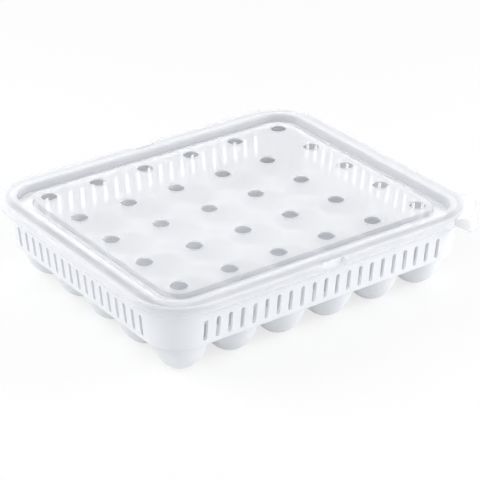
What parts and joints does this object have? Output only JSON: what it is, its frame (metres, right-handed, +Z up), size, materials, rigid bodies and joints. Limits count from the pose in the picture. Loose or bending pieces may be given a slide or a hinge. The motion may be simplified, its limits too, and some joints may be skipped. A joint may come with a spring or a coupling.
{
  "type": "egg storage container",
  "caption": "Egg keeper: white slotted basket on rows of round egg cups, under a clear vented lid that lifts off, with a pull tab at one corner.",
  "frame": {"origin": "on the surface it stands on, under the middle of the bounding box of the closed keeper, pull tab included", "axes": "+X along the long side, +Y along the short side, +Z up; the pull tab stands at the +X, -Y corner"},
  "size_m": [0.345, 0.2944, 0.0759],
  "materials": {
    "basket_white": "white injection-moulded polypropylene, satin gloss",
    "lid_clear": "clear, slightly hazy injection-moulded plastic, glossy"
  },
  "bodies": {
    "basket": {"basket_wall": "basket_white", "cup_tray_floor": "basket_white", "egg_cup_row1_column1": "basket_white", "egg_cup_row1_column2": "basket_white", "egg_cup_row1_column3": "basket_white", "egg_cup_row1_column4": "basket_white", "egg_cup_row1_column5": "basket_white", "egg_cup_row1_column6": "basket_white", "egg_cup_row2_column1": "basket_white", "egg_cup_row2_column2": "basket_white", "egg_cup_row2_column3": "basket_white", "egg_cup_row2_column4": "basket_white", "egg_cup_row2_column5": "basket_white", "egg_cup_row2_column6": "basket_white", "egg_cup_row3_column1": "basket_white", "egg_cup_row3_column2": "basket_white", "egg_cup_row3_column3": "basket_white", "egg_cup_row3_column4": "basket_white", "egg_cup_row3_column5": "basket_white", "egg_cup_row3_column6": "basket_white", "egg_cup_row4_column1": "basket_white", "egg_cup_row4_column2": "basket_white", "egg_cup_row4_column3": "basket_white", "egg_cup_row4_column4": "basket_white", "egg_cup_row4_column5": "basket_white", "egg_cup_row4_column6": "basket_white", "egg_cup_row5_column1": "basket_white", "egg_cup_row5_column2": "basket_white", "egg_cup_row5_column3": "basket_white", "egg_cup_row5_column4": "basket_white", "egg_cup_row5_column5": "basket_white", "egg_cup_row5_column6": "basket_white"},
    "lid": {"lid": "lid_clear"}
  },
  "joints": [
    {"name": "lid_lift", "type": "slide", "parent": "basket", "child": "lid", "axis": [0, 0, 1], "range_m": [0, 0.1]}
  ]
}
